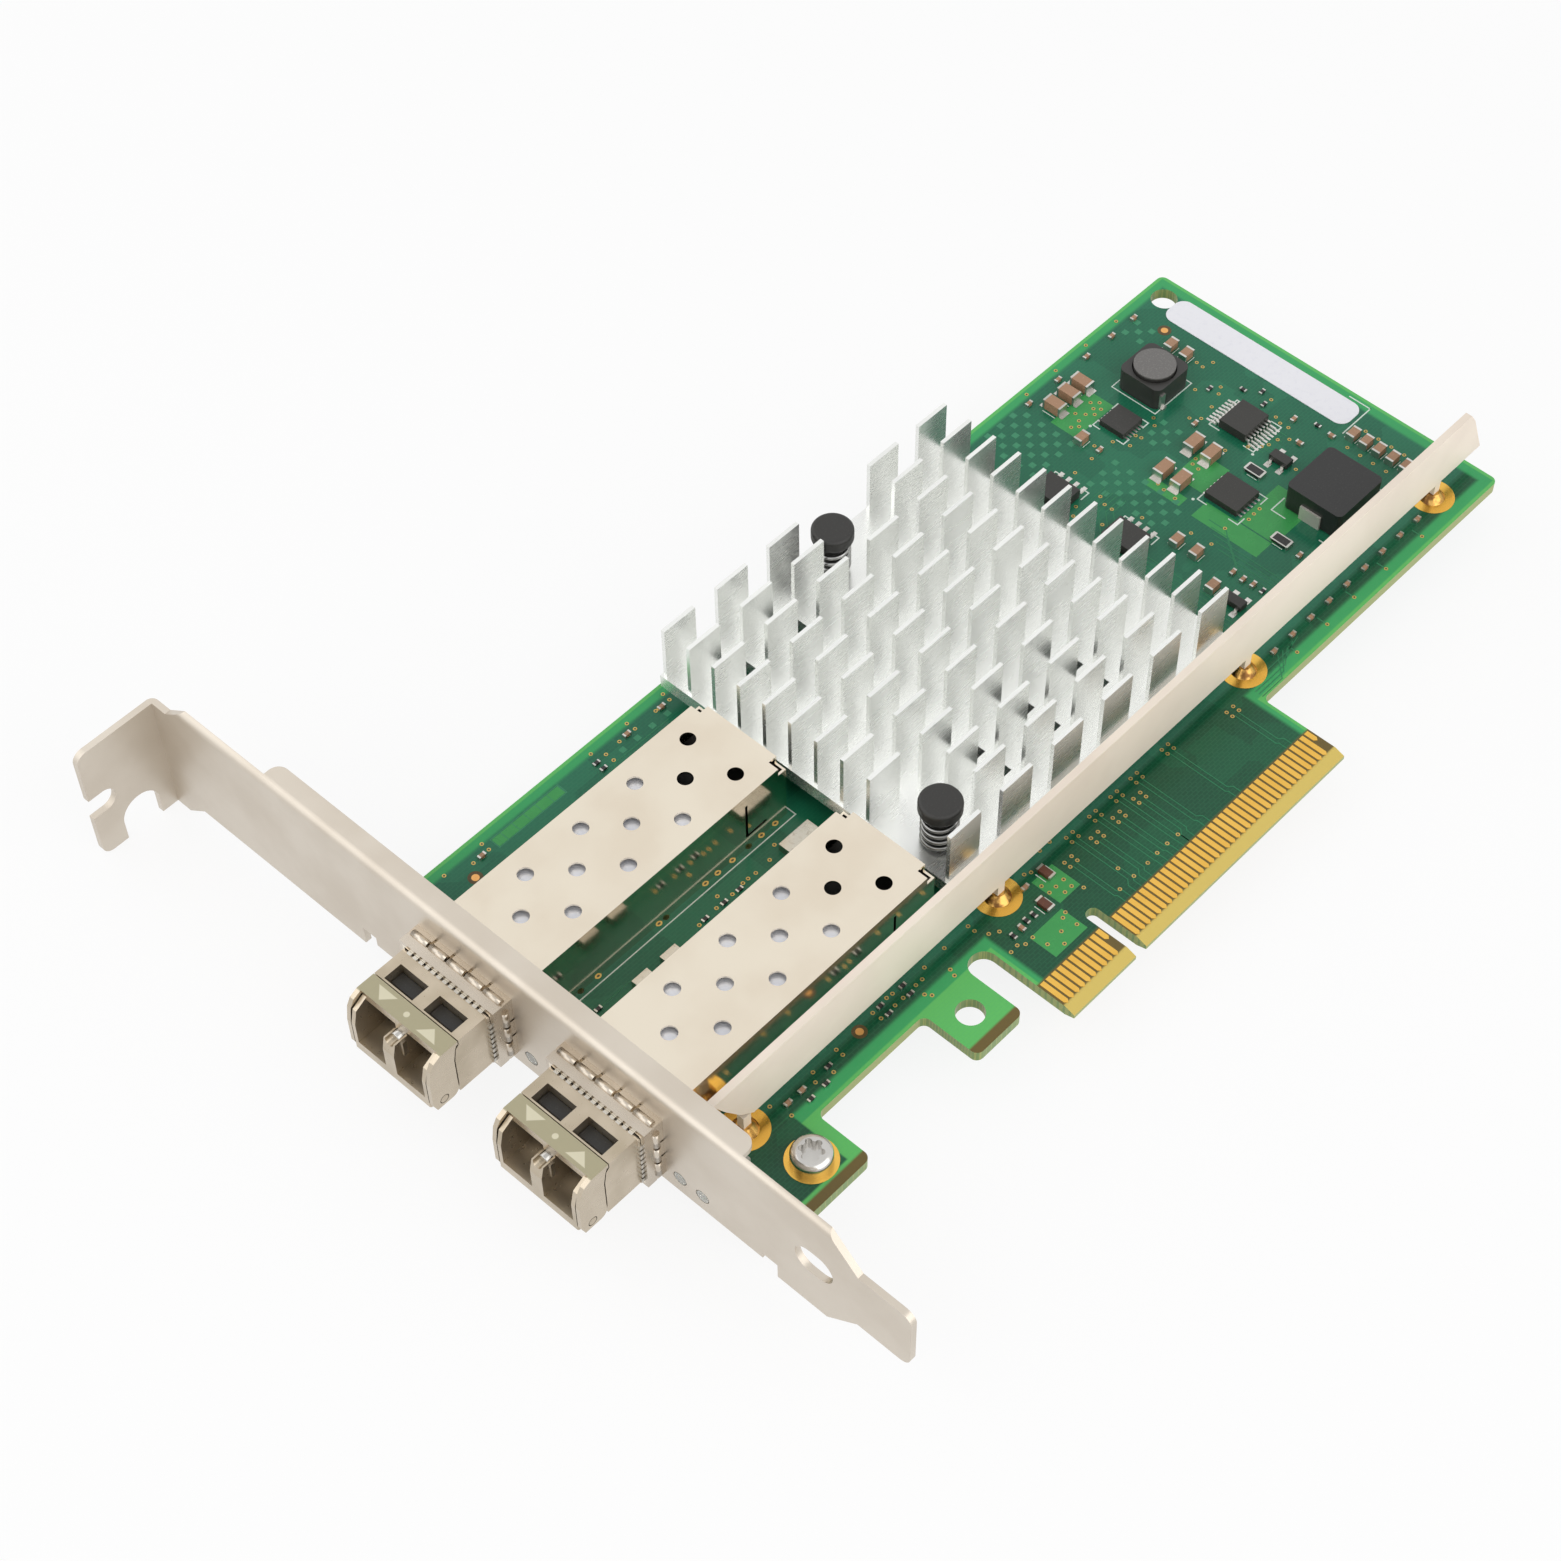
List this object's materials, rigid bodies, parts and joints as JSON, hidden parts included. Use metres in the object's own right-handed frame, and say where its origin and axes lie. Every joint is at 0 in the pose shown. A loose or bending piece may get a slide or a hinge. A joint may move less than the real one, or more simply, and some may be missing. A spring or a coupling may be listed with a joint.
{
  "type": "network interface card",
  "caption": "Circuit card with a gold edge connector, a finned heat sink, a full-height steel bracket and optical modules with bail latches.",
  "frame": {"origin": "middle of the edge connector's key notch, at the tongue's lower edge, on the component face of the board", "axes": "+X along the card away from the bracket, +Y from the edge connector to the card's top edge, +Z out of the component side"},
  "size_m": [0.1606, 0.12, 0.021],
  "materials": {
    "solder_mask_board": "glass-epoxy laminate under glossy green solder mask",
    "gold_plate": "gold plating over nickel, bright",
    "nickel_steel": "nickel-plated sheet steel, satin with a warm tone",
    "spring_steel": "nickel-plated spring strip, satin",
    "screw_steel": "bright nickel-plated steel",
    "cast_zinc": "nickel-plated die casting, satin; painted olive beige on the latch plate",
    "clear_aluminium": "clear anodised aluminium, matt",
    "black_plastic": "black moulding compound, matt",
    "solder_metal": "tin plating and solder, bright",
    "chip_package": "ball-grid package with a dark lid",
    "module_laminate": "thin green circuit laminate",
    "copper_wire": "enamelled copper wire",
    "ceramic": "fired ceramic, tan brown",
    "resistor_body": "dark glass over ceramic",
    "crystal_can": "drawn metal can",
    "thermal_gum": "soft grey thermal pad",
    "clear_plastic": "clear light-guide plastic",
    "label_paper": "blank white polyester label"
  },
  "bodies": {
    "card": {"bracket": "nickel_steel", "bracket_screw": "screw_steel", "cage_1": "nickel_steel", "cage_2": "nickel_steel", "cage_collar_1": "spring_steel", "cage_collar_2": "spring_steel", "cage_connector_1": "black_plastic", "cage_connector_2": "black_plastic", "chip_ends": "solder_metal", "chip_leads": "solder_metal", "chip_resistors": "resistor_body", "circuit_board": "solder_mask_board", "controller_chip": "chip_package", "crystals": "crystal_can", "driver_chip": "black_plastic", "drum_inductor": "black_plastic", "drum_winding": "copper_wire", "edge_contacts": "gold_plate", "flash_chips": "black_plastic", "fuses": "resistor_body", "gold_pads": "gold_plate", "heatsink": "clear_aluminium", "inductor_terminals": "solder_metal", "label": "label_paper", "large_capacitors": "ceramic", "medium_capacitors": "ceramic", "module_board_1": "module_laminate", "module_board_2": "module_laminate", "module_body_1": "cast_zinc", "module_body_2": "cast_zinc", "module_cover_1": "cast_zinc", "module_cover_2": "cast_zinc", "module_optics_1": "cast_zinc", "module_optics_2": "cast_zinc", "module_spring_ring_1": "nickel_steel", "module_spring_ring_2": "nickel_steel", "port_lights": "clear_plastic", "power_inductor": "black_plastic", "push_pin_1": "black_plastic", "push_pin_2": "black_plastic", "push_pin_spring_1": "screw_steel", "push_pin_spring_2": "screw_steel", "rail_solder": "solder_metal", "regulator_chips": "black_plastic", "small_capacitors": "ceramic", "small_resistors": "resistor_body", "stiffener_rail": "nickel_steel", "thermal_pad": "thermal_gum", "transistors": "black_plastic"},
    "bail_1": {"module_bail_1": "cast_zinc"},
    "bail_2": {"module_bail_2": "cast_zinc"}
  },
  "joints": [
    {"name": "bail_1_swing", "type": "hinge", "parent": "card", "child": "bail_1", "pos_m": [-0.0689, 0.05085, 0.00115], "axis": [0, -1, 0], "range_deg": [0, 90]},
    {"name": "bail_2_swing", "type": "hinge", "parent": "card", "child": "bail_2", "pos_m": [-0.0689, 0.0276, 0.00115], "axis": [0, -1, 0], "range_deg": [0, 90]}
  ]
}
